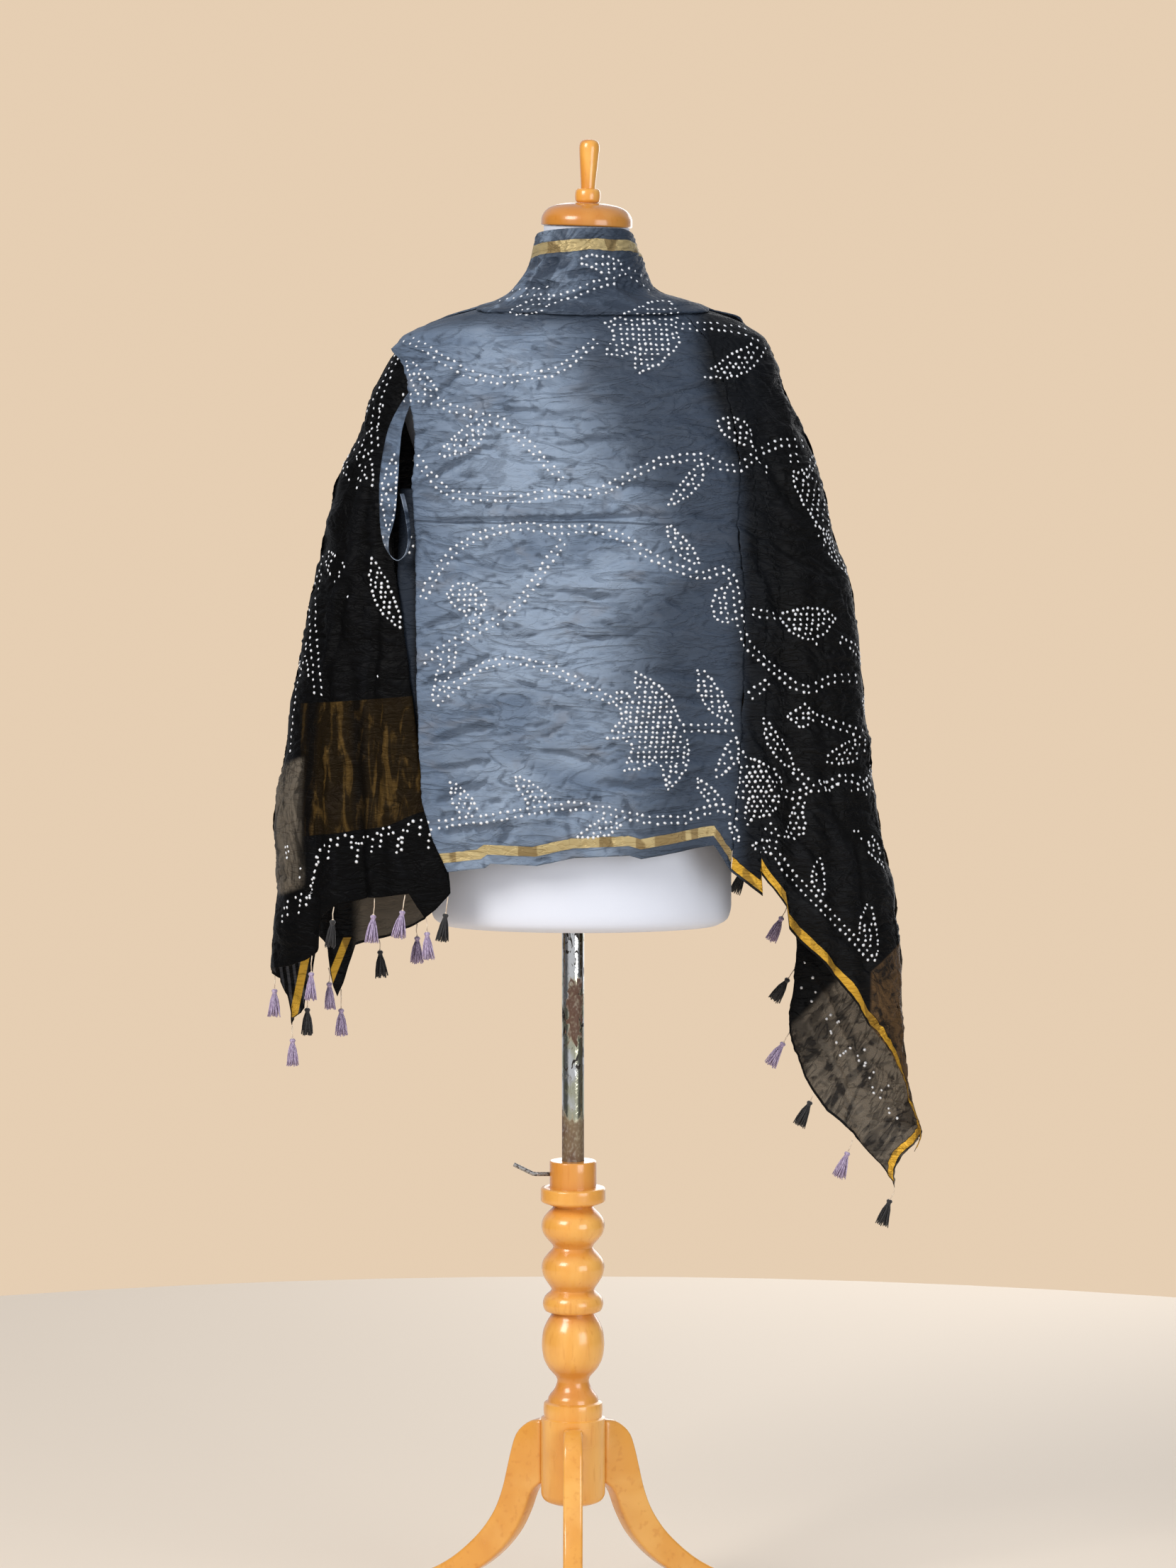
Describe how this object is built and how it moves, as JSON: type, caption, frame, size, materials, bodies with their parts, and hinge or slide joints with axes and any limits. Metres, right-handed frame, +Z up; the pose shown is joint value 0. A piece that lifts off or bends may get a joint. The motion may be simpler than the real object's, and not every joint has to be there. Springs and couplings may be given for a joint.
{
  "type": "dupatta stole worn like a shawl on a limbless dress form with a turned wooden stand",
  "caption": "Tie-dyed silk dupatta stole with gold borders and tasselled ends, wrapped like a shawl round a white limbless dress form on a chrome pole and turned wooden stand.",
  "frame": {"origin": "on the floor, under the middle of the whole", "axes": "+Z up, +X to the wearer's right and to the right of a viewer behind the form, -Y towards that viewer, so the stole's back faces -Y and its open front faces +Y"},
  "size_m": [0.7429, 0.461, 1.6828],
  "materials": {
    "stole_grey": "crinkled blue-grey silk with a soft sheen, white tied dots and gold borders",
    "stole_black": "crinkled black silk with white tied dots, gold borders and brown-gold brocade ends",
    "stole_sheer": "sheer grey-brown reverse of the black silk",
    "tassel_purple": "matt purple floss",
    "tassel_black": "matt black floss",
    "form_white": "smooth white skin",
    "amber_wood": "glossy amber varnish",
    "worn_chrome": "worn chrome plate with rust"
  },
  "bodies": {
    "stand": {"stand_column": "amber_wood", "leg_front": "amber_wood", "leg_back_right": "amber_wood", "leg_back_left": "amber_wood"},
    "clamp": {"clamp_screw": "worn_chrome"},
    "pole": {"pole": "worn_chrome"},
    "form": {"torso": "form_white", "neck_cap": "amber_wood", "finial": "amber_wood", "neck_wrap": "stole_grey", "back_panel": "stole_grey", "right_drape": "stole_black", "right_end": "stole_sheer", "left_end_outer": "stole_black", "left_end_front": "stole_black", "left_return": "stole_black", "left_fold_strip": "stole_grey", "tassel_left_outer_01": "tassel_black", "tassel_left_outer_02": "tassel_purple", "tassel_left_outer_03": "tassel_purple", "tassel_left_outer_04": "tassel_purple", "tassel_left_outer_05": "tassel_black", "tassel_left_outer_06": "tassel_purple", "tassel_left_front_01": "tassel_purple", "tassel_left_front_02": "tassel_purple", "tassel_left_front_03": "tassel_black", "tassel_left_front_04": "tassel_purple", "tassel_left_front_05": "tassel_purple", "tassel_left_front_06": "tassel_black", "tassel_left_front_07": "tassel_purple", "tassel_right_01": "tassel_black", "tassel_right_02": "tassel_purple", "tassel_right_03": "tassel_black", "tassel_right_04": "tassel_purple", "tassel_right_05": "tassel_black", "tassel_right_06": "tassel_purple", "tassel_right_07": "tassel_black", "tassel_right_08": "tassel_purple", "tassel_right_09": "tassel_black", "tassel_right_10": "tassel_purple", "tassel_right_11": "tassel_black", "tassel_right_12": "tassel_purple", "tassel_right_13": "tassel_black"}
  },
  "joints": [
    {"name": "clamp_turn", "type": "hinge", "parent": "stand", "child": "clamp", "pos_m": [-0.025, 0.0705, 0.5144], "axis": [1, 0, 0], "range_deg": [-90, 90]},
    {"name": "pole_height", "type": "slide", "parent": "stand", "child": "pole", "axis": [0, 0, 1], "range_m": [-0.15, 0.12]},
    {"name": "form_turn", "type": "hinge", "parent": "pole", "child": "form", "pos_m": [-0.025, 0.0705, 0.8], "axis": [0, 0, 1], "continuous": true}
  ]
}
